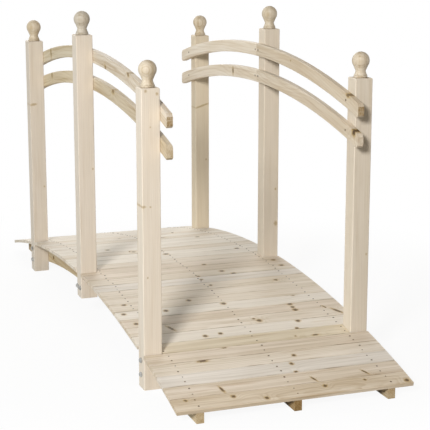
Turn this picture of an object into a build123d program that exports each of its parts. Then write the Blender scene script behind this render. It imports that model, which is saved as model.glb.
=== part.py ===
from build123d import *

import os
from math import asin, cos, sin, sqrt, tan

# An arched garden footbridge in plain sawn fir. Three arch stringers stand on the ground at both
# ends and carry a deck of cross boards. Six square posts are fixed to the outer faces of the outer
# stringers, and the boards are cut round them. Two arched rails a side run along the inner faces of
# the posts, and every post ends in a turned ball finial.
# Millimetres: +X across the deck, +Y along the span, +Z up, origin on the ground under the middle.

# Deck arch, measured along the top of the boards
deck_length = 2289.0
crown_height = 187.0
end_height = 45.5

# Deck boards, laid flat across the stringers and numbered from the crown outwards
deck_width = 778.0
board_thickness = 12.0
board_gap = 1.0
board_edge_radius = 2.0
boards_each_way = 17
post_clearance = 1.0
least_tongue = 12.0

# Stringers, sawn to the arch and cut level where they stand on the ground
stringer_thickness = 24.0
stringer_depth = 76.0
stringer_setback = 5.0

# Posts: the end posts stand on the ground, set back from the deck's ends, and the middle ones reach
# just below the stringers
post_side = 60.0
post_length = 959.0
post_setback = 364.5
post_inset = 2.0
post_edge_radius = 3.0
post_top_chamfer = 2.5
middle_post_drop = 7.0

# Rails, a pair a side, each in two halves that meet at the middle post and are screwed to the posts;
# the drops are from a post's top to the upper rail's top
rail_thickness = 20.0
rail_depth = 45.0
rail_spacing = 97.0
rail_drop_at_middle = 54.0
rail_drop_at_ends = 49.0
rail_overhang = 63.0
rail_joint_gap = 1.0
rail_end_clip = 9.0
rail_edge_chamfer = 1.5

# Ball finials, turned in one piece: a collar, a flare up to the neck and a cone from there to the ball
finial_height = 83.0
ball_diameter = 57.0
ball_seat_diameter = 47.0
neck_diameter = 33.0
neck_height = 22.0
flare_foot_diameter = 43.0
flare_hollow = 0.8
collar_diameter = 45.0
collar_height = 8.0
collar_bevel = 1.0

# One overrun carries every cut clear of what it cuts
overrun = 5.0

# The deck's top is an arc through both ends and the crown. The stringers' tops lie one board lower
# on the same centre, and the boards touch them along the middle of each board.
half_length = deck_length / 2
deck_rise = crown_height - end_height
deck_radius = (half_length**2 + deck_rise**2) / (2 * deck_rise)
seat_radius = deck_radius - board_thickness
arch_centre = crown_height - deck_radius
board_angle = asin(half_length / deck_radius) / boards_each_way
board_width = 2 * seat_radius * tan(board_angle / 2) - board_gap

# The posts' inner faces are the datum across the deck: stringers and rails both lie against them
post_outer_face = deck_width / 2 - post_inset
post_inner_face = post_outer_face - post_side
post_middle = post_outer_face - post_side / 2
post_spacing = half_length - post_setback
middle_post_foot = crown_height - board_thickness - stringer_depth - middle_post_drop
post_rows = [("front", -post_spacing, 0), ("middle", 0, middle_post_foot), ("back", post_spacing, 0)]
sides = [("left", -1), ("right", 1)]

# The upper rail's top edge is an arc set by its heights at the middle and the end posts
rail_crown = middle_post_foot + post_length - rail_drop_at_middle
rail_rise = rail_crown - (post_length - rail_drop_at_ends)
rail_radius = (post_spacing**2 + rail_rise**2) / (2 * rail_rise)
half_rail_length = post_spacing + post_side / 2 + rail_overhang - rail_joint_gap / 2
rail_pairs = [("upper", rail_crown), ("lower", rail_crown - rail_spacing)]

os.makedirs("parts", exist_ok=True)

# Arch stringers: a ring sector, cut off upright just inside the deck's ends and level at the ground
outer_stringer = post_inner_face - stringer_thickness
stringer_places = [
    ("left_stringer", -post_inner_face),
    ("middle_stringer", -stringer_thickness / 2),
    ("right_stringer", outer_stringer),
]
for node, near_face in stringer_places:
    with BuildPart() as stringer:
        with BuildSketch(Plane.YZ.offset(near_face)):
            with Locations((0, arch_centre)):
                Circle(seat_radius)
                Circle(seat_radius - stringer_depth, mode=Mode.SUBTRACT)
            Rectangle(
                deck_length - 2 * stringer_setback,
                crown_height,
                align=(Align.CENTER, Align.MIN),
                mode=Mode.INTERSECT,
            )
        extrude(amount=stringer_thickness)
    stringer.part.label = node
    export_step(stringer.part, f"parts/{node}.step")

# Deck boards: each node holds the two like boards at one distance from the crown. A board that
# meets a post is cut back round it, and a tongue too thin to stand is sawn off.
for number in range(1, boards_each_way + 1):
    node = f"deck_boards_{number:02d}"
    lean = (2 * number - 1) * board_angle / 2
    board_place = Plane(
        origin=(0, seat_radius * sin(lean), arch_centre + seat_radius * cos(lean)),
        x_dir=(1, 0, 0),
        z_dir=(0, sin(lean), cos(lean)),
    )
    inner_edge = board_place.origin.Y - board_width / 2 * cos(lean)
    outer_edge = board_place.origin.Y + board_width / 2 * cos(lean) + board_thickness * sin(lean)
    with BuildPart() as boards:
        with BuildSketch(board_place):
            Rectangle(deck_width, board_width)
        extrude(amount=board_thickness)
        up_the_board = Axis(board_place.origin, board_place.z_dir)
        top_edges = boards.edges().filter_by(Axis.X).group_by(up_the_board)[-1]
        fillet(top_edges, radius=board_edge_radius)
        for row, post_place, foot in post_rows:
            cut_from = post_place - post_side / 2 - post_clearance
            cut_to = post_place + post_side / 2 + post_clearance
            if cut_to <= inner_edge or cut_from >= outer_edge:
                continue
            if cut_from - inner_edge < least_tongue:
                cut_from = inner_edge - overrun
            if outer_edge - cut_to < least_tongue:
                cut_to = outer_edge + overrun
            notch_length = deck_width / 2 - post_inner_face + post_clearance + overrun
            notch_middle = post_inner_face - post_clearance + notch_length / 2
            with BuildSketch(Plane.XY):
                with Locations(*[(way * notch_middle, (cut_from + cut_to) / 2) for side, way in sides]):
                    Rectangle(notch_length, cut_to - cut_from)
            extrude(amount=crown_height + overrun, mode=Mode.SUBTRACT)
        mirror(about=Plane.XZ)
    boards.part.label = node
    export_step(boards.part, f"parts/{node}.step")

# Posts with eased corners and a chamfered top
for row, post_place, foot in post_rows:
    for side, way in sides:
        node = f"{row}_{side}_post"
        with BuildPart() as post:
            with BuildSketch(Plane.XY.offset(foot)):
                with Locations((way * post_middle, post_place)):
                    Rectangle(post_side, post_side)
            extrude(amount=post_length)
            chamfer(post.faces().sort_by(Axis.Z)[-1].edges(), length=post_top_chamfer)
            fillet(post.edges().filter_by(Axis.Z), radius=post_edge_radius)
        post.part.label = node
        export_step(post.part, f"parts/{node}.step")

# Ball finials: one profile, turned about the middle of each post and standing on its top. The three
# finials of a side share a node.
ball_radius = ball_diameter / 2
ball_middle = finial_height - ball_radius
ball_seat = (ball_seat_diameter / 2, ball_middle - sqrt(ball_radius**2 - (ball_seat_diameter / 2) ** 2))
neck = (neck_diameter / 2, neck_height)
flare_foot = (flare_foot_diameter / 2, collar_height)
flare_middle = ((neck[0] + flare_foot[0]) / 2 - flare_hollow, (neck_height + collar_height) / 2)
for side, way in sides:
    node = f"{side}_finials"
    with BuildPart() as finials:
        for row, post_place, foot in post_rows:
            turning_plane = Plane(
                origin=(way * post_middle, post_place, foot + post_length),
                x_dir=(1, 0, 0),
                z_dir=(0, -1, 0),
            )
            with BuildSketch(turning_plane):
                with BuildLine():
                    Polyline(
                        (0, finial_height),
                        (0, 0),
                        (collar_diameter / 2, 0),
                        (collar_diameter / 2, collar_height - collar_bevel),
                        flare_foot,
                    )
                    ThreePointArc(flare_foot, flare_middle, neck)
                    Line(neck, ball_seat)
                    ThreePointArc(ball_seat, (ball_radius, ball_middle), (0, finial_height))
                make_face()
            revolve(axis=Axis(turning_plane.origin, (0, 0, 1)))
    finials.part.label = node
    export_step(finials.part, f"parts/{node}.step")

# Rails: half a rail is a ring sector against the posts' inner faces, cut upright at the middle post, with
# its end corners clipped and its edges eased. The other half mirrors it, and both share a node.
for level, crown in rail_pairs:
    for side, way in sides:
        node = f"{side}_{level}_rail"
        near_face = min(way * post_inner_face, way * (post_inner_face - rail_thickness))
        with BuildPart() as rail:
            with BuildSketch(Plane.YZ.offset(near_face)):
                with Locations((0, crown - rail_radius)):
                    Circle(rail_radius)
                    Circle(rail_radius - rail_depth, mode=Mode.SUBTRACT)
                with Locations((rail_joint_gap / 2, crown - rail_radius)):
                    Rectangle(
                        half_rail_length,
                        rail_radius,
                        align=(Align.MIN, Align.MIN),
                        mode=Mode.INTERSECT,
                    )
            extrude(amount=rail_thickness)
            end_corners = rail.edges().filter_by(Axis.X).group_by(Axis.Y)[-1]
            chamfer(end_corners, length=rail_end_clip)
            chamfer(rail.edges().filter_by(GeomType.CIRCLE), length=rail_edge_chamfer)
            mirror(about=Plane.XZ)
        rail.part.label = node
        export_step(rail.part, f"parts/{node}.step")
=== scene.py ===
from math import asin, cos, pi, radians, sin, sqrt

import bmesh
import bpy
from mathutils import Matrix, Vector


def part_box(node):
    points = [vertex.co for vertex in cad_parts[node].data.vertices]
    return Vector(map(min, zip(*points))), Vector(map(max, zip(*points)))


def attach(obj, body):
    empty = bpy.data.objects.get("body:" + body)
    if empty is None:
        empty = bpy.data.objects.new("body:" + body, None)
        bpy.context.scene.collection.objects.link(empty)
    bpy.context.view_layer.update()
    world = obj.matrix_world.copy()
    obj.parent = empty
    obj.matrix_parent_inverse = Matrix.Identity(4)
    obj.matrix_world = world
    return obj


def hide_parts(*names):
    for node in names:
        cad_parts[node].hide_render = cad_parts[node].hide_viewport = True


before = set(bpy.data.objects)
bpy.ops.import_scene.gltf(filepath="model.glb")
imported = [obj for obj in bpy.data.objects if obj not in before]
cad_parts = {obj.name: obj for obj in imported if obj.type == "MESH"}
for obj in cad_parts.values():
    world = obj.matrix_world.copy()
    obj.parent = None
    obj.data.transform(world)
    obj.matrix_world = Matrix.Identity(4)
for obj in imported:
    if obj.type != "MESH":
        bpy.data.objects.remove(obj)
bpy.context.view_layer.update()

# Arch stringers: three fir planks sawn to the curve of the deck and cut level where they stand on the
# ground. They are left rough from the saw, so they shine less than the planed pieces. The log's rings
# run straight along a plank, so the saw cuts across them at the curved edges.


def feed(tree, socket, value):
    """Links an output to a socket, or sets the socket to a plain value."""
    value = getattr(value, "socket", value)
    if isinstance(value, bpy.types.NodeSocket):
        tree.links.new(value, socket)
    else:
        socket.default_value = value


def add_node(tree, kind, inputs=(), **settings):
    """Adds a node, makes its settings, and feeds its sockets by name or by number."""
    node = tree.nodes.new(kind)
    for setting, value in settings.items():
        setattr(node, setting, value)
    for socket, value in dict(inputs).items():
        feed(tree, node.inputs[socket], value)
    return node


class Wire:
    """A number that flows through a node tree. Sums on wires add Math nodes to the tree."""

    def __init__(self, tree, socket):
        self.tree = tree
        self.socket = socket

    def math(self, operation, *others):
        node = add_node(self.tree, "ShaderNodeMath", enumerate((self, *others)), operation=operation)
        return Wire(self.tree, node.outputs["Value"])

    def __add__(self, other):
        return self.math("ADD", other)

    def __sub__(self, other):
        return self.math("SUBTRACT", other)

    def __mul__(self, other):
        return self.math("MULTIPLY", other)

    def __truediv__(self, other):
        return self.math("DIVIDE", other)

    def step(self, low, high, start=0.0, end=1.0):
        """Goes smoothly from start to end as the number goes from low to high."""
        limits = {"Value": self, "From Min": low, "From Max": high, "To Min": start, "To Max": end}
        node = add_node(self.tree, "ShaderNodeMapRange", limits, interpolation_type="SMOOTHSTEP")
        return Wire(self.tree, node.outputs["Result"])


def split(tree, vector):
    """The three numbers of a vector."""
    node = add_node(tree, "ShaderNodeSeparateXYZ", {0: vector})
    return [Wire(tree, output) for output in node.outputs]


def join(tree, x=0.0, y=0.0, z=0.0):
    """A vector of three numbers."""
    return add_node(tree, "ShaderNodeCombineXYZ", {0: x, 1: y, 2: z}).outputs[0]


def shift(tree, vector, operation, *others):
    """The output of one Vector Math node."""
    node = add_node(tree, "ShaderNodeVectorMath", enumerate((vector, *others)), operation=operation)
    return node.outputs["Vector"]


def cloud(tree, place, per_metre, detail=1.0):
    """Noise from 0 to 1, with its own number of patches a metre along each axis."""
    sockets = {"Vector": shift(tree, place, "MULTIPLY", per_metre), "Scale": 1.0, "Detail": detail}
    return Wire(tree, add_node(tree, "ShaderNodeTexNoise", sockets).outputs["Fac"])


def blend(tree, share, first, second, kind="MIX"):
    """The output of one Mix Color node."""
    sockets = {0: share, 6: first, 7: second}
    node = add_node(tree, "ShaderNodeMix", sockets, data_type="RGBA", blend_type=kind)
    return node.outputs[2]


def screen(red, green, blue):
    """A colour written as it looks on a screen, from 0 to 255, turned into the light it stands for."""
    shares = [value / 255 for value in (red, green, blue)]
    return (*[((share + 0.055) / 1.055) ** 2.4 for share in shares], 1.0)


def new_group(name, inputs, outputs):
    """An empty shader group with named sockets, and the sockets of its two end nodes."""
    group = bpy.data.node_groups.new(name, "ShaderNodeTree")
    for label, kind in inputs.items():
        group.interface.new_socket(label, in_out="INPUT", socket_type=f"NodeSocket{kind}")
    for label, kind in outputs.items():
        group.interface.new_socket(label, in_out="OUTPUT", socket_type=f"NodeSocket{kind}")
    return group, group.nodes.new("NodeGroupInput").outputs, group.nodes.new("NodeGroupOutput").inputs


# A knot is a dark oval with a brown halo, and the rings of the log flow round it. A stretch above 1
# draws it out along the grain, and one below 1 makes a spike knot, sawn lengthwise across the grain. A
# sound knot is lighter than a dead one, which Darkness sets.
knot_group, given, taken = new_group(
    "fir_knot",
    {
        "Place": "Vector",
        "Along": "Float",
        "Across": "Float",
        "Size": "Float",
        "Stretch": "Float",
        "Lean": "Float",
        "Darkness": "Float",
    },
    {"Knot": "Float", "Halo": "Float", "Pull": "Float"},
)
along, across = split(knot_group, given["Place"])[:2]
off_across = across - given["Across"]
off_along = (along - given["Along"] - off_across * given["Lean"]) / given["Stretch"]
reach = (off_along * off_along + off_across * off_across).math("SQRT") / given["Size"]
ragged = reach + cloud(knot_group, given["Place"], (150.0, 150.0, 60.0), 2.0) - 0.5
feed(knot_group, taken["Knot"], ragged.step(0.45, 0.95, 1.0, 0.0) * given["Darkness"])
halo_strength = Wire(knot_group, given["Darkness"]) * 0.5 + 0.5
feed(knot_group, taken["Halo"], ragged.step(0.6, 1.6, 1.0, 0.0) * halo_strength)
feed(knot_group, taken["Pull"], (reach * reach * -0.16).math("EXPONENT") * given["Size"])

# Sawn fir on any cut through the log. Place is in metres along the grain, across it and through the
# piece, and Heart is where the middle of the log lies. Pale early wood and tan late wood alternate by
# year, bands, lines and fibres run along the grain, and the blade leaves ripples across it.
streak_tint = screen(204, 184, 150)
end_grain_tint = screen(186, 168, 132)
seam_shade_tint = screen(150, 130, 98)
halo_brown = screen(174, 142, 72)
knot_brown = screen(76, 52, 10)
fir_group, given, taken = new_group(
    "sawn_fir",
    {
        "Place": "Vector",
        "Heart": "Vector",
        "Seed": "Float",
        "Year": "Float",
        "Wander": "Float",
        "Figure": "Float",
        "Pale": "Color",
        "Tan": "Color",
        "End": "Float",
        "Seam shade": "Float",
        "Knot": "Float",
        "Halo": "Float",
        "Pull": "Float",
    },
    {"Color": "Color", "Roughness": "Float", "Height": "Float"},
)
seeds = join(fir_group, given["Seed"], given["Seed"], given["Seed"])
shifted = shift(fir_group, seeds, "MULTIPLY_ADD", (3.7, 1.9, 2.3), given["Place"])
from_heart = shift(fir_group, given["Place"], "SUBTRACT", given["Heart"])
across, through = split(fir_group, from_heart)[1:]
sideways = across + (cloud(fir_group, shifted, (1.6, 0.4, 0.4)) * 0.09 - 0.045) * given["Wander"]
inwards = through + (cloud(fir_group, shifted, (1.1, 0.3, 0.7)) * 0.10 - 0.05) * given["Wander"]
ripple = cloud(fir_group, shifted, (5.0, 45.0, 45.0)) * 0.004 - 0.002
radius = (sideways * sideways + inwards * inwards).math("SQRT") + ripple + given["Pull"]
years = radius / given["Year"]
season = years.math("FRACT")
year_mark = Wire(fir_group, given["Seed"]) * 17.3 + years.math("FLOOR")
year_noise = add_node(fir_group, "ShaderNodeTexWhiteNoise", {"W": year_mark}, noise_dimensions="1D")
year_strength = Wire(fir_group, year_noise.outputs["Value"]) * 0.65 + 0.35
late_wood = season.step(0.35, 0.9) * season.step(0.92, 1.0, 1.0, 0.0) * year_strength
patches = cloud(fir_group, shifted, (3.0, 14.0, 14.0), 2.0).step(0.38, 0.66)
bands = cloud(fir_group, shifted, (2.2, 52.0, 52.0), 2.0).step(0.36, 0.66)
lines = cloud(fir_group, shifted, (4.0, 170.0, 170.0), 3.0).step(0.38, 0.72)
streaks = cloud(fir_group, shifted, (3.4, 74.0, 74.0), 3.0).step(0.57, 0.72)
fibres = cloud(fir_group, shifted, (9.0, 520.0, 520.0), 2.0)
ripples = cloud(fir_group, shifted, (520.0, 4.0, 4.0))
tan_share = (patches * 0.2 + bands * 0.4 + late_wood * 0.4 + lines * 0.3) * given["Figure"]
wood = blend(fir_group, tan_share, given["Pale"], given["Tan"])
wood = blend(fir_group, streaks * given["Figure"] * 0.45, wood, streak_tint, "MULTIPLY")
grey = fibres * -0.14 + 1.07
wood = blend(fir_group, 1.0, wood, join(fir_group, grey, grey, grey), "MULTIPLY")
end_mottle = lines * 0.6 + 0.7
wood = blend(fir_group, end_mottle * given["End"], wood, end_grain_tint, "MULTIPLY")
# Painted shade along the seams between deck boards; only the deck boards feed it.
wood = blend(fir_group, given["Seam shade"], wood, seam_shade_tint, "MULTIPLY")
wood = blend(fir_group, Wire(fir_group, given["Halo"]) * 0.8, wood, halo_brown)
wood = blend(fir_group, given["Knot"], wood, knot_brown)
feed(fir_group, taken["Color"], wood)
feed(fir_group, taken["Roughness"], fibres * 0.16 + Wire(fir_group, given["End"]) * 0.15 + 0.52)
height = fibres + late_wood * 0.35 + lines * 0.3 + ripples * 0.25 - Wire(fir_group, given["Knot"]) * 0.5
feed(fir_group, taken["Height"], height)

planed_shine = 0.5
sawn_shine = 0.1
fir_relief = 0.00025


def new_material(name):
    """A new material, its tree and its shader."""
    material = bpy.data.materials.new(name)
    material.use_nodes = True
    return material, material.node_tree, material.node_tree.nodes["Principled BSDF"]


def add_knots(tree, place, knots, darkness):
    """Puts in knots (along, across, size, stretch, lean), in metres, and gives their masks together."""
    masks = {}
    for along, across, size, stretch, lean in knots:
        shape = {"Along": along, "Across": across, "Size": size, "Stretch": stretch, "Lean": lean}
        sockets = {"Place": place, **shape, "Darkness": darkness}
        knot = add_node(tree, "ShaderNodeGroup", sockets, node_tree=knot_group)
        for label, operation in {"Knot": "MAXIMUM", "Halo": "MAXIMUM", "Pull": "ADD"}.items():
            mask = Wire(tree, knot.outputs[label])
            masks[label] = masks[label].math(operation, mask) if label in masks else mask
    return masks


def finish_fir(
    tree,
    shader,
    place,
    grain,
    knots=(),
    darkness=1.0,
    end_tone=0.5,
    seam_shade=0.0,
    shine=planed_shine,
    **look,
):
    """Puts sawn fir on a shader, with the grain along one axis. The look feeds the group's sockets."""
    facing = split(tree, add_node(tree, "ShaderNodeTexCoord").outputs["Normal"])["XYZ".index(grain)]
    end = facing.math("ABSOLUTE").step(0.72, 0.98, 0.0, end_tone)
    masks = add_knots(tree, place, knots, darkness)
    sockets = {"Place": place, "End": end, "Seam shade": seam_shade, **look, **masks}
    fir = add_node(tree, "ShaderNodeGroup", sockets, node_tree=fir_group)
    relief = add_node(tree, "ShaderNodeBump", {"Height": fir.outputs["Height"], "Distance": fir_relief})
    feed(tree, shader.inputs["Base Color"], fir.outputs["Color"])
    feed(tree, shader.inputs["Roughness"], fir.outputs["Roughness"])
    feed(tree, shader.inputs["Normal"], relief.outputs["Normal"])
    shader.inputs["Specular IOR Level"].default_value = shine


def straight_fir(name, turn, middle, **look):
    """Fir whose grain runs along the first axis named in turn, round the middle of the piece."""
    material, tree, shader = new_material(name)
    here = add_node(tree, "ShaderNodeTexCoord").outputs["Object"]
    numbers = split(tree, shift(tree, here, "SUBTRACT", middle))
    place = join(tree, *[numbers["XYZ".index(axis)] for axis in turn])
    finish_fir(tree, shader, place, turn[0], **look)
    return material


def paint(node, material):
    """Gives a CAD node its finish."""
    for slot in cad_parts[node].material_slots:
        slot.material = material


def middle_of(node):
    """The middle of a CAD node's box."""
    low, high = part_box(node)
    return (Vector(low) + Vector(high)) / 2


# The middle stringer's tones are darkened, and the outer ones' a little, as painted shade from the deck
# above.
stringer_tones_with_painted_shade = {
    "left_stringer": (screen(207, 190, 158), screen(176, 149, 108)),
    "middle_stringer": (screen(178, 152, 110), screen(146, 118, 76)),
    "right_stringer": (screen(207, 190, 158), screen(176, 149, 108)),
}
stringer_ends = {"left_stringer": 0.25, "middle_stringer": 0.6, "right_stringer": 0.3}
knots_a_stringer = 4
first_knot = -0.62
knot_spacing = 0.41
knot_stagger = 0.05
knot_off_middle = 0.012
stringer_knot_size = 0.008
stringer_knot_stretch = 1.3
for seed, (node, (pale, tan)) in enumerate(stringer_tones_with_painted_shade.items(), start=1):
    stringer_knots = []
    for turn in range(knots_a_stringer):
        along = first_knot + knot_spacing * turn + knot_stagger * seed
        across = knot_off_middle * (-1) ** turn
        stringer_knots.append((along, across, stringer_knot_size, stringer_knot_stretch, 0.0))
    material = straight_fir(
        f"{node}_fir",
        "YZX",
        middle_of(node),
        knots=stringer_knots,
        end_tone=stringer_ends[node],
        shine=sawn_shine,
        Heart=(0.0, 0.03, 0.08),
        Seed=seed,
        Year=0.0055,
        Wander=0.6,
        Figure=0.8,
        Pale=pale,
        Tan=tan,
    )
    paint(node, material)

# Posts: planed square fir with eased corners, bolted to the outer faces of the outer stringers. Each is
# cut from its own part of the log, straight in the grain, with a few pin knots and a spike knot or two.
post_tones = {
    "front_left_post": (screen(224, 213, 197), screen(200, 183, 158)),
    "middle_left_post": (screen(219, 208, 193), screen(196, 180, 154)),
    "back_left_post": (screen(215, 204, 189), screen(192, 177, 151)),
    "front_right_post": (screen(217, 206, 189), screen(192, 176, 148)),
    "middle_right_post": (screen(220, 208, 190), screen(195, 178, 150)),
    "back_right_post": (screen(222, 208, 184), screen(196, 178, 144)),
}
post_hearts = {
    "front_left_post": (0.0, 0.09, 0.05),
    "middle_left_post": (0.0, -0.10, 0.06),
    "back_left_post": (0.0, 0.04, 0.11),
    "front_right_post": (0.0, -0.06, 0.10),
    "middle_right_post": (0.0, 0.11, 0.05),
    "back_right_post": (0.0, -0.07, -0.10),
}
post_knots = {
    "front_left_post": [
        (0.361, -0.002, 0.002, 1.2, 0.0),
        (-0.112, -0.015, 0.0025, 1.3, 0.0),
        (0.471, -0.016, 0.004, 1.2, 0.0),
        (0.462, 0.020, 0.004, 1.2, 0.0),
        (0.114, -0.026, 0.007, 0.6, 0.0),
        (0.113, -0.004, 0.003, 1.0, 0.0),
    ],
    "middle_left_post": [(0.0, 0.022, 0.003, 1.3, 0.0)],
    "back_left_post": [(0.223, -0.016, 0.014, 0.35, 0.1), (-0.12, 0.020, 0.003, 1.2, 0.0)],
    "front_right_post": [(-0.10, 0.021, 0.003, 1.3, 0.0)],
    "middle_right_post": [(-0.256, 0.020, 0.007, 1.3, 0.0), (-0.123, 0.018, 0.004, 1.2, 0.0)],
    "back_right_post": [(0.183, 0.0, 0.036, 0.12, 0.3), (-0.05, 0.016, 0.003, 1.3, 0.0)],
}
first_post_seed = 11.0
for number, (node, heart) in enumerate(post_hearts.items()):
    pale, tan = post_tones[node]
    material = straight_fir(
        f"{node}_fir",
        "ZXY",
        middle_of(node),
        knots=post_knots[node],
        darkness=0.2,
        Heart=heart,
        Seed=first_post_seed + number,
        Year=0.0045,
        Wander=0.25,
        Figure=0.35,
        Pale=pale,
        Tan=tan,
    )
    paint(node, material)

# Bolts: two zinc-plated hexagon bolts through each post and its stringer, with a washer under the head
# on the outside and a washer and nut on the inside. The end posts have one above the other, and the
# middle posts have theirs side by side, because the arch leaves less height there.
washer_diameter = 0.018
washer_thickness = 0.0016
washer_sides = 28
hexagon_width = 0.013
head_height = 0.0053
nut_height = 0.0065
thread_diameter = 0.008
thread_sides = 16
thread_beyond_head = 0.0004
thread_beyond_nut = 0.006
end_bolt_heights = [0.045, 0.092]
middle_bolt_height = 0.130
middle_bolt_spacing = 0.034
stud_bevel_share = 0.2
zinc_relief = 0.0001
zinc_grey = screen(150, 149, 146)
zinc_bright = screen(188, 187, 183)
zinc_dull = screen(112, 108, 100)

zinc, tree, shader = new_material("zinc_plate")
here = add_node(tree, "ShaderNodeTexCoord").outputs["Object"]
spangle = cloud(tree, here, (420.0, 420.0, 420.0), 3.0)
dulled = cloud(tree, here, (90.0, 90.0, 90.0), 2.0).step(0.42, 0.68, 0.0, 0.6)
plate = blend(tree, spangle, zinc_grey, zinc_bright)
feed(tree, shader.inputs["Base Color"], blend(tree, dulled, plate, zinc_dull))
feed(tree, shader.inputs["Roughness"], spangle * 0.25 + 0.3)
shader.inputs["Metallic"].default_value = 0.7
relief = add_node(tree, "ShaderNodeBump", {"Height": spangle, "Distance": zinc_relief, "Strength": 0.5})
feed(tree, shader.inputs["Normal"], relief.outputs["Normal"])


def new_geometry_tree(name, sizes):
    """An empty Geometry Nodes tree with named inputs, and the sockets of its two end nodes."""
    tree = bpy.data.node_groups.new(name, "GeometryNodeTree")
    tree.interface.new_socket("Points", in_out="INPUT", socket_type="NodeSocketGeometry")
    for label, kind in sizes.items():
        tree.interface.new_socket(label, in_out="INPUT", socket_type=f"NodeSocket{kind}")
    tree.interface.new_socket("Pieces", in_out="OUTPUT", socket_type="NodeSocketGeometry")
    return tree, tree.nodes.new("NodeGroupInput").outputs, tree.nodes.new("NodeGroupOutput").inputs


def stud(tree, sides, radius, height, foot):
    """A prism standing on a foot height, with the edge of its top taken off."""
    bevel = height * stud_bevel_share
    body_height = height - bevel
    body_sizes = {"Vertices": sides, "Radius": radius, "Depth": body_height}
    body = add_node(tree, "GeometryNodeMeshCylinder", body_sizes).outputs["Mesh"]
    top_sizes = {"Vertices": sides, "Radius Top": radius - bevel, "Radius Bottom": radius}
    top = add_node(tree, "GeometryNodeMeshCone", {**top_sizes, "Depth": bevel}).outputs["Mesh"]
    raised = []
    for solid, rise in [(body, body_height * 0.5), (top, body_height)]:
        sockets = {0: solid, "Translation": join(tree, z=rise + foot)}
        raised.append(add_node(tree, "GeometryNodeTransform", sockets).outputs[0])
    return raised


def plant(tree, points, solids, rotation, finish, taken, scale=1.0):
    """Stands a set of solids on every point and ends the tree in plain geometry with its finish."""
    together = add_node(tree, "GeometryNodeJoinGeometry")
    for solid in solids:
        tree.links.new(solid, together.inputs[0])
    turned = add_node(tree, "FunctionNodeEulerToRotation", {0: rotation})
    sockets = {"Points": points, "Instance": together.outputs[0], "Rotation": turned.outputs[0]}
    planted = add_node(tree, "GeometryNodeInstanceOnPoints", sockets)
    feed(tree, planted.inputs["Scale"], join(tree, scale, scale, scale))
    real = add_node(tree, "GeometryNodeRealizeInstances", {0: planted.outputs["Instances"]})
    painted = add_node(tree, "GeometryNodeSetMaterial", {0: real.outputs[0], "Material": finish})
    feed(tree, taken["Pieces"], painted.outputs[0])


def fix_on(name, tree, points, sizes):
    """Runs a tree on points, keeps the result as a plain mesh and fixes it to the bridge."""
    mesh = bpy.data.meshes.new(f"{name}_points")
    mesh.from_pydata(points, [], [])
    holder = bpy.data.objects.new(f"{name}_points", mesh)
    bpy.context.collection.objects.link(holder)
    modifier = holder.modifiers.new("tree", "NODES")
    modifier.node_group = tree
    for socket in tree.interface.items_tree:
        if socket.in_out == "INPUT" and socket.name in sizes:
            modifier[socket.identifier] = sizes[socket.name]
    evaluated = holder.evaluated_get(bpy.context.evaluated_depsgraph_get())
    result = bpy.data.meshes.new_from_object(evaluated)
    result.name = name
    holder.modifiers.remove(modifier)
    bpy.data.objects.remove(holder)
    piece = bpy.data.objects.new(name, result)
    bpy.context.collection.objects.link(piece)
    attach(piece, "root")


bolt_tree, given, taken = new_geometry_tree(
    "bolt_ends",
    {
        "Washer diameter": "Float",
        "Washer thickness": "Float",
        "Hexagon width": "Float",
        "Hexagon height": "Float",
        "Thread diameter": "Float",
        "Thread length": "Float",
        "Facing": "Float",
        "Seed": "Int",
    },
)
washer_radius = Wire(bolt_tree, given["Washer diameter"]) * 0.5
washer_top = Wire(bolt_tree, given["Washer thickness"])
hexagon_radius = Wire(bolt_tree, given["Hexagon width"]) / sqrt(3)
hexagon_height = Wire(bolt_tree, given["Hexagon height"])
thread_radius = Wire(bolt_tree, given["Thread diameter"]) * 0.5
thread_length = Wire(bolt_tree, given["Thread length"])
bolt_solids = stud(bolt_tree, washer_sides, washer_radius, washer_top, 0.0)
bolt_solids += stud(bolt_tree, 6, hexagon_radius, hexagon_height, washer_top)
bolt_solids += stud(bolt_tree, thread_sides, thread_radius, thread_length, washer_top + hexagon_height)
sixth_turn = {2: 0.0, 3: pi / 3, "Seed": given["Seed"]}
spin = add_node(bolt_tree, "FunctionNodeRandomValue", sixth_turn, data_type="FLOAT").outputs[1]
outwards = join(bolt_tree, y=Wire(bolt_tree, given["Facing"]) * (pi / 2), z=spin)
plant(bolt_tree, given["Points"], bolt_solids, outwards, zinc, taken)

bolt_sizes = {
    "Washer diameter": washer_diameter,
    "Washer thickness": washer_thickness,
    "Hexagon width": hexagon_width,
    "Thread diameter": thread_diameter,
}
head_sizes = {"Hexagon height": head_height, "Thread length": thread_beyond_head, "Seed": 3}
nut_sizes = {"Hexagon height": nut_height, "Thread length": thread_beyond_nut, "Seed": 5}
for side, way, outer, inner in [("left", -1.0, 0, 1), ("right", 1.0, 1, 0)]:
    stringer_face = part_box(f"{side}_stringer")[inner][0]
    head_points = []
    nut_points = []
    for row in ["front", "middle", "back"]:
        post_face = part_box(f"{row}_{side}_post")[outer][0]
        post_middle = middle_of(f"{row}_{side}_post").y
        if row == "middle":
            half = middle_bolt_spacing / 2
            places = [(post_middle + offset, middle_bolt_height) for offset in (-half, half)]
        else:
            places = [(post_middle, height) for height in end_bolt_heights]
        head_points += [(post_face, *place) for place in places]
        nut_points += [(stringer_face, *place) for place in places]
    fix_on(f"{side}_bolt_heads", bolt_tree, head_points, bolt_sizes | head_sizes | {"Facing": way})
    fix_on(f"{side}_bolt_nuts", bolt_tree, nut_points, bolt_sizes | nut_sizes | {"Facing": -way})
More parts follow.
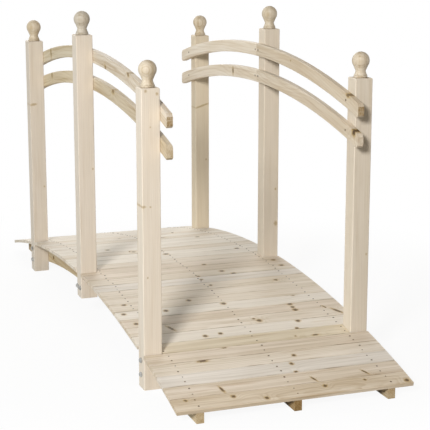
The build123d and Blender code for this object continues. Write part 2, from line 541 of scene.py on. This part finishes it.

# Deck boards: thin planed fir boards nailed across the arch, from mixed stock, so pale, greyish and tan
# boards lie side by side, and the far half is set paler as painted light. The grain runs across the
# bridge, knots are common, and the seams are darkened with painted shade.
deck_length = 2.289
deck_crown = 0.187
deck_end = 0.0455
boards_each_way = 17
board_half_width = 0.0334
seam_reach = 0.003
deck_rise = deck_crown - deck_end
deck_radius = ((deck_length / 2) ** 2 + deck_rise**2) / (2 * deck_rise)
arch_centre = deck_crown - deck_radius
board_angle = asin(deck_length / 2 / deck_radius) / boards_each_way
board_pitch = board_angle * deck_radius
board_tones = {
    "white": (screen(241, 233, 220), screen(212, 201, 184), 0.85),
    "grey": (screen(235, 227, 216), screen(204, 194, 179), 0.9),
    "cream": (screen(235, 224, 209), screen(203, 188, 163), 1.0),
    "beige": (screen(232, 219, 203), screen(198, 181, 155), 1.1),
    "tan": (screen(225, 211, 190), screen(190, 170, 140), 1.2),
    "straw": (screen(228, 216, 194), screen(198, 181, 149), 1.0),
}
# Past the crown the boards are mostly white: painted light, set paler for the brighter far half of the
# deck.
tones_from_front = """
    tan beige grey cream beige straw white cream beige
    white cream cream cream grey cream beige beige
    cream white white cream white white white cream
    white cream white white white white white white white
""".split()

# Knots of the deck in metres: across the bridge, along the arch from the crown, and size. A spike knot
# also has a lean.
round_knots = [
    (0.373, -1.139, 0.010),
    (-0.098, -1.139, 0.0085),
    (0.104, -1.114, 0.0085),
    (-0.196, -1.110, 0.0085),
    (0.242, -1.108, 0.0055),
    (-0.345, -1.101, 0.0065),
    (0.047, -1.018, 0.0075),
    (0.052, -0.968, 0.0085),
    (0.080, -0.919, 0.0085),
    (0.137, -0.797, 0.0045),
    (0.164, -0.743, 0.0075),
    (-0.153, -0.728, 0.0095),
    (-0.098, -0.722, 0.0085),
    (0.190, -0.691, 0.010),
    (0.063, -0.658, 0.011),
    (0.050, -0.640, 0.0065),
    (0.217, -0.603, 0.011),
    (0.217, -0.580, 0.0085),
    (-0.344, -0.585, 0.010),
    (0.217, -0.552, 0.011),
    (-0.215, -0.503, 0.010),
    (-0.362, -0.498, 0.0095),
    (-0.004, -0.491, 0.011),
    (0.260, -0.477, 0.0085),
    (-0.110, -0.433, 0.010),
    (-0.338, -0.416, 0.010),
    (0.262, -0.316, 0.0095),
    (0.016, -0.306, 0.0075),
    (0.005, -0.236, 0.0075),
    (0.143, -0.201, 0.011),
    (0.007, -0.197, 0.0075),
    (0.111, -0.161, 0.011),
    (0.350, -0.157, 0.011),
    (0.348, -0.081, 0.010),
    (0.078, -0.058, 0.010),
    (0.285, 0.141, 0.011),
    (-0.004, 0.150, 0.013),
    (-0.108, 0.239, 0.011),
    (-0.190, 0.320, 0.010),
    (0.230, 0.455, 0.010),
    (-0.060, 0.610, 0.010),
    (0.150, 0.790, 0.010),
    (-0.280, 0.905, 0.0085),
    (0.040, 1.075, 0.010),
]
drawn_out_knots = [
    (-0.219, -0.890, 0.009),
    (0.205, -0.803, 0.006),
    (-0.122, -0.823, 0.004),
    (0.100, 0.520, 0.007),
]
spike_knots = [
    (-0.217, -1.065, 0.019, -0.2),
    (0.085, -1.069, 0.015, -0.4),
    (0.262, -1.065, 0.016, -0.5),
    (-0.244, -0.647, 0.022, -0.4),
    (0.355, -0.645, 0.026, -0.5),
    (0.325, -0.605, 0.014, -0.3),
    (-0.120, 0.250, 0.014, 0.2),
    (0.190, 0.665, 0.020, 0.3),
]
round_stretch = 0.95
drawn_out_stretch = 2.2
spike_stretch = 0.3
deck_knots = [(*knot, round_stretch, 0.0) for knot in round_knots]
deck_knots += [(*knot, drawn_out_stretch, 0.0) for knot in drawn_out_knots]
deck_knots += [(along, across, size, spike_stretch, lean) for along, across, size, lean in spike_knots]

# Every board comes from its own part of a log. The log's heart lies to one side of the board and below
# it, and the width of a year's growth differs too.
heart_reach = 0.07
heart_below = 0.07
heart_spread = 0.03
board_year = 0.005
board_year_spread = 0.0015
first_board_seed = 20.0
board_seed_step = 1.7
back_board_seed = 31.3


def along_arch(tree, radius, centre):
    """Where a point lies on an arch: across, along and above its top line, and 1 on its back half."""
    x, y, z = split(tree, add_node(tree, "ShaderNodeTexCoord").outputs["Object"])
    above_centre = z - centre
    along = y.math("ARCTAN2", above_centre) * radius
    above_top = (y * y + above_centre * above_centre).math("SQRT") - radius
    return x, along, above_top, y.math("GREATER_THAN", 0.0)


# One material serves the two boards of a node, so at_back tells the back one from the front one.
# Painted shade darkens the seams in broken dashes, and the open outer edge of the last board has none.
for number in range(1, boards_each_way + 1):
    node = f"deck_boards_{number:02d}"
    material, tree, shader = new_material(f"{node}_fir")
    x, along_deck, above_top, at_back = along_arch(tree, deck_radius, arch_centre)
    board_middle = (number - 0.5) * board_pitch
    across_board = along_deck - at_back * (2 * board_middle) + board_middle
    heart_across = heart_reach * sin(5 * number)
    heart_depth = -heart_below - heart_spread * cos(3 * number)
    place = join(tree, x, along_deck, above_top)
    towards_crown = across_board - at_back * across_board * 2.0
    to_edge = towards_crown if number == boards_each_way else across_board.math("ABSOLUTE")
    # Painted shade along the seams, broken into dashes.
    seam = to_edge.step(board_half_width - seam_reach, board_half_width)
    dashes = cloud(tree, place, (9.0, 12.0, 12.0), 3.0).step(0.45, 0.70, 0.25, 0.9)
    front_pale, front_tan, front_figure = board_tones[tones_from_front[boards_each_way - number]]
    back_pale, back_tan, back_figure = board_tones[tones_from_front[boards_each_way + number - 1]]
    finish_fir(
        tree,
        shader,
        place,
        "X",
        knots=[knot for knot in deck_knots if abs(abs(knot[1]) - board_middle) < board_pitch / 2],
        darkness=0.95,
        end_tone=0.25,
        seam_shade=seam * dashes,
        Heart=join(tree, y=at_back * (2 * board_middle) - board_middle + heart_across, z=heart_depth),
        Seed=at_back * back_board_seed + (first_board_seed + board_seed_step * number),
        Year=board_year + board_year_spread * sin(number),
        Wander=0.8,
        Figure=at_back * (back_figure - front_figure) + front_figure,
        Pale=blend(tree, at_back, front_pale, back_pale),
        Tan=blend(tree, at_back, front_tan, back_tan),
    )
    paint(node, material)

# Deck nails: two steel nails in each board over each stringer, driven by hand, so the rows are not
# quite straight. Only the flat heads show, and they differ a little in size.
nail_head_diameter = 0.0065
nail_head_height = 0.0008
nail_head_sides = 12
nail_top_share = 0.75
least_nail_share = 0.7
most_nail_share = 1.15
nail_pair_spacing = 0.031
nail_drift = 0.004
nail_rows = 3
nail_brown = screen(88, 72, 50)
rust_brown = screen(106, 78, 44)

dark_steel, tree, shader = new_material("dark_nail_steel")
here = add_node(tree, "ShaderNodeTexCoord").outputs["Object"]
rust = cloud(tree, here, (160.0, 160.0, 160.0), 2.0).step(0.4, 0.7)
feed(tree, shader.inputs["Base Color"], blend(tree, rust, nail_brown, rust_brown))
feed(tree, shader.inputs["Roughness"], rust * 0.3 + 0.5)
shader.inputs["Metallic"].default_value = 0.15

# The tree lays out the nails along the arch by itself, so the point that it runs on is not used.
nail_tree, given, taken = new_geometry_tree(
    "deck_nails",
    {
        "Boards": "Int",
        "Board angle": "Float",
        "Deck radius": "Float",
        "Arch centre": "Float",
        "Row spacing": "Float",
        "Pair spacing": "Float",
        "Head diameter": "Float",
        "Head height": "Float",
        "Drift": "Float",
        "Seed": "Int",
    },
)
boards = Wire(nail_tree, given["Boards"])
deck = Wire(nail_tree, given["Deck radius"])
nails_a_board = 2.0 * nail_rows
line = add_node(nail_tree, "GeometryNodeMeshLine", {"Count": boards * nails_a_board})
index = Wire(nail_tree, add_node(nail_tree, "GeometryNodeInputIndex").outputs[0])
board = ((index + 0.5) / nails_a_board).math("FLOOR")
on_board = index - board * nails_a_board
row = ((on_board + 0.5) / 2.0).math("FLOOR")
in_pair = on_board - row * 2.0 - 0.5
lean = (board - boards * 0.5 + 0.5) * given["Board angle"]
anywhere = {0: (-1.0, -1.0, 0.0), 1: (1.0, 1.0, 0.0), "Seed": given["Seed"]}
drift = add_node(nail_tree, "FunctionNodeRandomValue", anywhere, data_type="FLOAT_VECTOR").outputs[0]
drift_across, drift_along = split(nail_tree, drift)[:2]
across = (row - (nail_rows - 1) / 2) * given["Row spacing"] + drift_across * given["Drift"]
along = in_pair * given["Pair spacing"] + drift_along * given["Drift"]
nail_y = deck * lean.math("SINE") + along * lean.math("COSINE")
nail_z = deck * lean.math("COSINE") - along * lean.math("SINE") + given["Arch centre"]
moved = {0: line.outputs["Mesh"], "Position": join(nail_tree, across, nail_y, nail_z)}
points = add_node(nail_tree, "GeometryNodeSetPosition", moved).outputs[0]
any_size = {2: least_nail_share, 3: most_nail_share, "Seed": given["Seed"]}
size = add_node(nail_tree, "FunctionNodeRandomValue", any_size, data_type="FLOAT").outputs[1]
head_radius = Wire(nail_tree, given["Head diameter"]) * 0.5
top_radius = head_radius * nail_top_share
head_shape = {"Vertices": nail_head_sides, "Radius Top": top_radius, "Radius Bottom": head_radius}
head = add_node(nail_tree, "GeometryNodeMeshCone", {**head_shape, "Depth": given["Head height"]})
plant(nail_tree, points, [head.outputs["Mesh"]], join(nail_tree, lean * -1.0), dark_steel, taken, size)
nail_sizes = {
    "Boards": 2 * boards_each_way,
    "Board angle": board_angle,
    "Deck radius": deck_radius,
    "Arch centre": arch_centre,
    "Row spacing": middle_of("right_stringer").x,
    "Pair spacing": nail_pair_spacing,
    "Head diameter": nail_head_diameter,
    "Head height": nail_head_height,
    "Drift": nail_drift,
    "Seed": 7,
}
fix_on("deck_nails", nail_tree, [(0.0, 0.0, 0.0)], nail_sizes)

# Rails: two arched fir rails a side, lying against the inner faces of the posts. Each is in two halves
# from planks of their own, which meet at the middle post. The grain follows the curve, and the cut ends
# have darkened, some more than others.
rail_depth = 0.045
rail_tones = {
    "left_upper_rail": [
        (screen(220, 209, 193), screen(182, 162, 130)),
        (screen(219, 208, 185), screen(180, 160, 122)),
    ],
    "left_lower_rail": [
        (screen(206, 192, 167), screen(169, 147, 110)),
        (screen(216, 200, 171), screen(177, 155, 113)),
    ],
    "right_upper_rail": [
        (screen(211, 198, 177), screen(188, 168, 139)),
        (screen(236, 226, 210), screen(210, 193, 167)),
    ],
    "right_lower_rail": [
        (screen(222, 211, 193), screen(195, 177, 150)),
        (screen(236, 226, 210), screen(210, 193, 167)),
    ],
}
rail_ends = {
    "left_upper_rail": 0.88,
    "left_lower_rail": 0.05,
    "right_upper_rail": 0.95,
    "right_lower_rail": 0.12,
}
rail_knot_darkness = {
    "left_upper_rail": 0.65,
    "left_lower_rail": 0.65,
    "right_upper_rail": 0.75,
    "right_lower_rail": 1.0,
}
rail_knots = {
    "left_upper_rail": [
        (0.62, 0.004, 0.026, 0.4, 0.0),
        (-0.195, -0.014, 0.011, 1.0, 0.3),
        (-0.47, 0.018, 0.010, 1.3, 0.0),
    ],
    "left_lower_rail": [(0.61, 0.012, 0.014, 0.7, 0.0), (-0.285, 0.016, 0.010, 1.5, 0.0)],
    "right_upper_rail": [(-0.325, 0.007, 0.0035, 1.2, 0.0), (-0.80, 0.021, 0.009, 1.8, 0.0)],
    "right_lower_rail": [(0.25, 0.0, 0.016, 0.45, 0.0), (-0.852, 0.019, 0.016, 0.9, 0.0)],
}


def rail_arch(node):
    """The radius of a rail's top edge and the height of its centre."""
    low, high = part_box(node)
    rise = high[2] - low[2] - rail_depth
    radius = (high[1] ** 2 + rise**2) / (2 * rise)
    return radius, high[2] - radius


first_rail_seed = 41.0
back_rail_seed = 7.7
for number, (node, (front_tones, back_tones)) in enumerate(rail_tones.items()):
    material, tree, shader = new_material(f"{node}_fir")
    x, along_rail, above_top, at_back = along_arch(tree, *rail_arch(node))
    finish_fir(
        tree,
        shader,
        join(tree, along_rail, above_top + rail_depth / 2, x - middle_of(node).x),
        "Y",
        knots=rail_knots[node],
        darkness=rail_knot_darkness[node],
        end_tone=rail_ends[node],
        Heart=(0.0, 0.05, 0.11),
        Seed=at_back * back_rail_seed + (first_rail_seed + number),
        Year=0.005,
        Wander=0.7,
        Figure=1.05,
        Pale=blend(tree, at_back, front_tones[0], back_tones[0]),
        Tan=blend(tree, at_back, front_tones[1], back_tones[1]),
    )
    paint(node, material)

# Rail screws: countersunk screws through the rails into the posts, driven from the walkway side so that
# the flat head lies in the face of the rail. The middle posts take one for each half of a rail.
screw_head_diameter = 0.0075
screw_head_height = 0.0005
screw_head_sides = 20
joint_screw_spacing = 0.028

screw_sizes = {"Head diameter": "Float", "Head height": "Float", "Facing": "Float"}
screw_tree, given, taken = new_geometry_tree("rail_screws", screw_sizes)
screw_radius = Wire(screw_tree, given["Head diameter"]) * 0.5
screw_height = Wire(screw_tree, given["Head height"])
screw_solids = stud(screw_tree, screw_head_sides, screw_radius, screw_height, 0.0)
outwards = join(screw_tree, y=Wire(screw_tree, given["Facing"]) * (pi / 2))
plant(screw_tree, given["Points"], screw_solids, outwards, dark_steel, taken)
for side, way, inner in [("left", -1.0, 1), ("right", 1.0, 0)]:
    screw_points = []
    front, middle, back = [middle_of(f"{row}_{side}_post").y for row in ["front", "middle", "back"]]
    places = [front, middle - joint_screw_spacing / 2, middle + joint_screw_spacing / 2, back]
    for level in ["upper", "lower"]:
        rail_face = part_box(f"{side}_{level}_rail")[inner][0]
        radius, centre = rail_arch(f"{side}_{level}_rail")
        for y in places:
            rail_top = centre + sqrt(radius**2 - y**2)
            screw_points.append((rail_face, y, rail_top - rail_depth / 2))
    sizes = {"Head diameter": screw_head_diameter, "Head height": screw_head_height, "Facing": -way}
    fix_on(f"{side}_rail_screws", screw_tree, screw_points, sizes)

# Finials: balls turned from fir on a lathe, each with a collar and a hollow neck, dowelled into the top
# of a post, on which only a smaller foot stands. The grain stands upright, so the rings show as ovals.
finial_height = 0.083
ball_radius = 0.0285
ball_seat_radius = 0.0235
neck_radius = 0.0165
neck_height = 0.022
flare_foot_radius = 0.0215
flare_hollow = 0.0008
collar_radius = 0.0225
collar_height = 0.008
collar_rounding = 0.001
quirk_depth = 0.0015
quirk_height = 0.0012
foot_radius = 0.0195
foot_height = 0.0016
turning_steps = 72
arc_steps = 28
merge_distance = 0.00005
sharp_angle = radians(40)


def arc_through(first, middle, last):
    """Points along the arc through three points of a profile, each a radius and a height."""
    start, halfway, finish = Vector(first), Vector(middle), Vector(last)
    rows = Matrix((2 * (halfway - start), 2 * (finish - start)))
    centre = rows.inverted() @ Vector(
        (halfway.length_squared - start.length_squared, finish.length_squared - start.length_squared)
    )
    sweep = (start - centre).angle_signed(halfway - centre)
    sweep += (halfway - centre).angle_signed(finish - centre)
    turns = [Matrix.Rotation(-sweep * step / arc_steps, 2) for step in range(arc_steps + 1)]
    return [centre + turn @ (start - centre) for turn in turns]


ball_middle = finial_height - ball_radius
ball_seat = ball_middle - sqrt(ball_radius**2 - ball_seat_radius**2)
flare_foot = (flare_foot_radius, collar_height)
flare_middle = ((flare_foot_radius + neck_radius) / 2 - flare_hollow, (collar_height + neck_height) / 2)
neck = (neck_radius, neck_height)
collar_face_radius = collar_radius - collar_rounding
collar_top = collar_height - quirk_height
quirk_radius = flare_foot_radius - quirk_depth
profile = [
    (0.0, 0.0),
    (foot_radius, 0.0),
    (foot_radius, foot_height),
    (collar_face_radius, foot_height),
    (collar_radius, foot_height + collar_rounding),
    (collar_radius, collar_top - collar_rounding),
    (collar_face_radius, collar_top),
    (quirk_radius, collar_top),
    (quirk_radius, collar_height),
    *arc_through(flare_foot, flare_middle, neck),
    *arc_through((ball_seat_radius, ball_seat), (ball_radius, ball_middle), (0.0, finial_height)),
]
finial_tones = {
    "left": [
        (screen(210, 198, 178), screen(174, 154, 120)),
        (screen(199, 191, 177), screen(160, 145, 118)),
        (screen(215, 202, 180), screen(178, 157, 122)),
    ],
    "right": [
        (screen(211, 199, 179), screen(175, 155, 122)),
        (screen(212, 201, 182), screen(176, 157, 124)),
        (screen(215, 202, 180), screen(178, 157, 122)),
    ],
}
first_finial_seed = 51.0
for side, tones in finial_tones.items():
    shape = bmesh.new()
    mesh = bpy.data.meshes.new(f"{side}_turned_finials")
    for number, (row, (pale, tan)) in enumerate(zip(["front", "middle", "back"], tones)):
        low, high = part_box(f"{row}_{side}_post")
        foot = Vector(((low[0] + high[0]) / 2, (low[1] + high[1]) / 2, high[2]))
        first_face = len(shape.faces)
        corners = [shape.verts.new(foot + Vector((radius, 0.0, height))) for radius, height in profile]
        edges = [shape.edges.new(pair) for pair in zip(corners, corners[1:])]
        sweep = {"cent": foot, "axis": (0.0, 0.0, 1.0), "angle": 2 * pi, "steps": turning_steps}
        bmesh.ops.spin(shape, geom=corners + edges, **sweep)
        shape.faces.ensure_lookup_table()
        for face in shape.faces[first_face:]:
            face.material_index = number
        material = straight_fir(
            f"{row}_{side}_turned_fir",
            "ZXY",
            foot,
            end_tone=0.2,
            Heart=(0.0, 0.03, 0.05),
            Seed=first_finial_seed + number + len(side),
            Year=0.004,
            Wander=0.3,
            Figure=0.95,
            Pale=pale,
            Tan=tan,
        )
        mesh.materials.append(material)
    bmesh.ops.remove_doubles(shape, verts=shape.verts, dist=merge_distance)
    bmesh.ops.recalc_face_normals(shape, faces=shape.faces)
    for face in shape.faces:
        face.smooth = True
    shape.to_mesh(mesh)
    shape.free()
    mesh.set_sharp_from_angle(angle=sharp_angle)
    finials = bpy.data.objects.new(f"{side}_turned_finials", mesh)
    bpy.context.collection.objects.link(finials)
    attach(finials, "root")
    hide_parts(f"{side}_finials")

# Studio: a white floor that fades into a white ground and can be seen through from below, a strong soft
# lamp at the front left, a broad cool one on the left, weaker ones at the back and the right, a little
# warm light from all round, and a camera at eye height.
floor_half = 9.0
floor_whites = (screen(246, 246, 246), screen(252, 252, 252))
floor_roughness = 0.9
fade_start = 1.0
fade_end = 1.8
least_fade = 0.92
ambient = 0.11
warm_ambient = (1.0, 0.87, 0.68, 1.0)
floor_bounce = (0.42, 0.395, 0.35, 1.0)
white = (1.0, 1.0, 1.0, 1.0)

mesh = bpy.data.meshes.new("floor")
corners = [(-floor_half, -floor_half, 0.0), (floor_half, -floor_half, 0.0)]
corners += [(floor_half, floor_half, 0.0), (-floor_half, floor_half, 0.0)]
mesh.from_pydata(corners, [], [(0, 1, 2, 3)])
floor = bpy.data.objects.new("floor", mesh)
bpy.context.collection.objects.link(floor)


def seen_directly(tree):
    """1 where the camera, a shine or glass looks at a surface, and 0 where it only sends light on."""
    path = add_node(tree, "ShaderNodeLightPath").outputs
    shiny = Wire(tree, path["Is Glossy Ray"]).math("MAXIMUM", path["Is Transmission Ray"])
    return shiny.math("MAXIMUM", path["Is Camera Ray"])


material, tree, shader = new_material("white_floor")
here = add_node(tree, "ShaderNodeTexCoord").outputs["Object"]
seen = seen_directly(tree)
mottle = cloud(tree, here, (30.0, 30.0, 30.0), 2.0)
paper = blend(tree, mottle, *floor_whites)
feed(tree, shader.inputs["Base Color"], blend(tree, seen, floor_bounce, paper))
shader.inputs["Roughness"].default_value = floor_roughness
shader.inputs["Specular IOR Level"].default_value = 0.0
glow = add_node(tree, "ShaderNodeEmission", {"Color": white, "Strength": 1.0})
length = add_node(tree, "ShaderNodeVectorMath", {0: here}, operation="LENGTH")
distance = Wire(tree, length.outputs["Value"])
fade = distance.step(fade_start, fade_end, least_fade, 1.0) * seen
fading = add_node(tree, "ShaderNodeMixShader", {0: fade, 1: shader.outputs[0], 2: glow.outputs[0]})
from_below = add_node(tree, "ShaderNodeNewGeometry").outputs["Backfacing"]
clear = add_node(tree, "ShaderNodeBsdfTransparent")
layers = {0: from_below, 1: fading.outputs[0], 2: clear.outputs[0]}
surface = add_node(tree, "ShaderNodeMixShader", layers)
feed(tree, tree.nodes["Material Output"].inputs["Surface"], surface.outputs[0])
mesh.materials.append(material)

world = bpy.data.worlds.new("studio")
world.use_nodes = True
bpy.context.scene.world = world
tree = world.node_tree
ground = tree.nodes["Background"].inputs
seen = seen_directly(tree)
feed(tree, ground["Color"], blend(tree, seen, warm_ambient, white))
feed(tree, ground["Strength"], seen * (1.0 - ambient) + ambient)


def add_lamp(name, place, aim, width, height, power, colour):
    """An area lamp at a place, turned to an aim."""
    lamp = bpy.data.lights.new(name, "AREA")
    lamp.shape = "RECTANGLE"
    lamp.size = width
    lamp.size_y = height
    lamp.energy = power
    lamp.color = colour
    stand = bpy.data.objects.new(name, lamp)
    bpy.context.collection.objects.link(stand)
    stand.location = place
    stand.rotation_euler = (Vector(aim) - Vector(place)).to_track_quat("-Z", "Y").to_euler()


add_lamp(
    "key_lamp",
    place=(-3.61, -5.34, 3.20),
    aim=(0.0, -0.3, 0.5),
    width=1.2,
    height=1.2,
    power=400.0,
    colour=(0.99, 0.985, 0.99),
)
add_lamp(
    "left_lamp",
    place=(-7.2, -0.3, 2.3),
    aim=(0.0, 0.0, 0.5),
    width=4.8,
    height=2.4,
    power=170.0,
    colour=(0.82, 0.925, 1.0),
)
add_lamp(
    "back_lamp",
    place=(0.3, 3.3, 2.3),
    aim=(0.0, 1.2, 0.1),
    width=2.8,
    height=2.8,
    power=66.0,
    colour=(1.0, 0.99, 0.96),
)
add_lamp(
    "right_lamp",
    place=(5.0, 0.3, 0.65),
    aim=(0.0, 0.0, 0.5),
    width=1.2,
    height=1.2,
    power=66.0,
    colour=(1.0, 1.0, 1.0),
)

camera_place = (-1.6021, -4.8265, 1.5053)
line_of_sight = (0.33183, 0.91782, -0.21797)
focal_length = 117.0
sensor_width = 36.0

lens = bpy.data.cameras.new("photo_camera")
lens.sensor_width = sensor_width
lens.lens = focal_length
camera = bpy.data.objects.new("photo_camera", lens)
bpy.context.collection.objects.link(camera)
camera.location = camera_place
camera.rotation_euler = Vector(line_of_sight).to_track_quat("-Z", "Y").to_euler()
bpy.context.scene.camera = camera
bpy.context.scene.view_settings.view_transform = "Standard"
